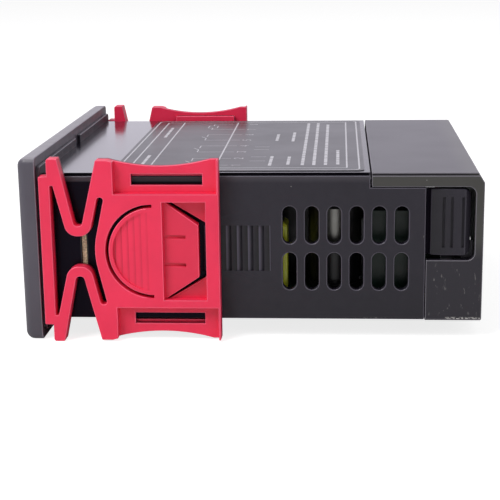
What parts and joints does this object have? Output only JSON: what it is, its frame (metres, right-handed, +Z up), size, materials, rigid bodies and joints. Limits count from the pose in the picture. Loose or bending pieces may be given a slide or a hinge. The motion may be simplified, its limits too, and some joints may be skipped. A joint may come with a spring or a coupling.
{
  "type": "digital temperature controller",
  "caption": "Panel-mount digital temperature controller: shallow housing with a framed display front, sprung clips on ratcheted side walls, and a latched rear cover over its terminals.",
  "frame": {"origin": "centre of the panel's front surface, in the plane of the collar's rear face", "axes": "+X into the panel, towards the terminals; -X faces the user; +Z up; +Y to the user's left"},
  "size_m": [0.085, 0.0766, 0.0344],
  "materials": {
    "bezel_plastic": "fine moulded grain, grey-violet",
    "window_acrylic": "smoked transparent acrylic",
    "display_plastic": "grey display case with pale segments",
    "key_plastic": "moulded grey",
    "switch_plastic": "black moulded, satin",
    "circuit_board": "tan laminate, varnished",
    "chip_epoxy": "black epoxy",
    "header_metal": "tinned brass pins",
    "housing_plastic": "dark violet-grey, fine moulded grain, glossy on the lid",
    "label_film": "printed matt film",
    "cover_plastic": "dark violet-grey, satin",
    "clip_plastic": "pink-red moulded, satin",
    "core_steel": "stacked steel plates",
    "bobbin_plastic": "natural moulded",
    "winding_copper": "copper wire under yellow tape",
    "relay_plastic": "black moulded",
    "capacitor_aluminium": "bare aluminium top, printed sleeve",
    "film_epoxy": "yellow moulded box",
    "varistor_epoxy": "blue epoxy coat",
    "terminal_plastic": "dark green moulded",
    "terminal_metal": "zinc plated"
  },
  "bodies": {
    "controller": {"board_header": "header_metal", "buzzer": "switch_plastic", "controller_chip": "chip_epoxy", "display_board": "circuit_board", "display_lower": "display_plastic", "display_upper": "display_plastic", "display_window": "window_acrylic", "film_capacitor": "film_epoxy", "front_bezel": "bezel_plastic", "main_board": "circuit_board", "main_housing": "housing_plastic", "output_capacitor": "capacitor_aluminium", "relay_cool": "relay_plastic", "relay_heat": "relay_plastic", "supply_capacitor": "capacitor_aluminium", "switch_down": "switch_plastic", "switch_power": "switch_plastic", "switch_set": "switch_plastic", "switch_up": "switch_plastic", "terminal_block": "terminal_plastic", "terminal_cages": "terminal_metal", "terminal_screws": "terminal_metal", "transformer_bobbin": "bobbin_plastic", "transformer_core": "core_steel", "transformer_winding": "winding_copper", "varistor": "varistor_epoxy", "wiring_label": "label_film"},
    "rear_cover": {"rear_cover": "cover_plastic"},
    "right_clip": {"mounting_clip_right": "clip_plastic"},
    "left_clip": {"mounting_clip_left": "clip_plastic"},
    "set_key": {"button_set": "key_plastic", "plunger_set": "switch_plastic"},
    "up_key": {"button_up": "key_plastic", "plunger_up": "switch_plastic"},
    "power_key": {"button_power": "key_plastic", "plunger_power": "switch_plastic"},
    "down_key": {"button_down": "key_plastic", "plunger_down": "switch_plastic"}
  },
  "joints": [
    {"name": "right_clip_slide", "type": "slide", "parent": "controller", "child": "right_clip", "axis": [1, 0, 0], "range_m": [0, 0.03]},
    {"name": "left_clip_slide", "type": "slide", "parent": "controller", "child": "left_clip", "axis": [1, 0, 0], "range_m": [0, 0.03]},
    {"name": "rear_cover_slide", "type": "slide", "parent": "controller", "child": "rear_cover", "axis": [1, 0, 0], "range_m": [0, 0.022]},
    {"name": "set_key_press", "type": "slide", "parent": "controller", "child": "set_key", "axis": [1, 0, 0], "range_m": [0, 0.0004], "stiffness_N_per_m": 1000},
    {"name": "up_key_press", "type": "slide", "parent": "controller", "child": "up_key", "axis": [1, 0, 0], "range_m": [0, 0.0004], "stiffness_N_per_m": 1000},
    {"name": "power_key_press", "type": "slide", "parent": "controller", "child": "power_key", "axis": [1, 0, 0], "range_m": [0, 0.0004], "stiffness_N_per_m": 1000},
    {"name": "down_key_press", "type": "slide", "parent": "controller", "child": "down_key", "axis": [1, 0, 0], "range_m": [0, 0.0004], "stiffness_N_per_m": 1000}
  ]
}
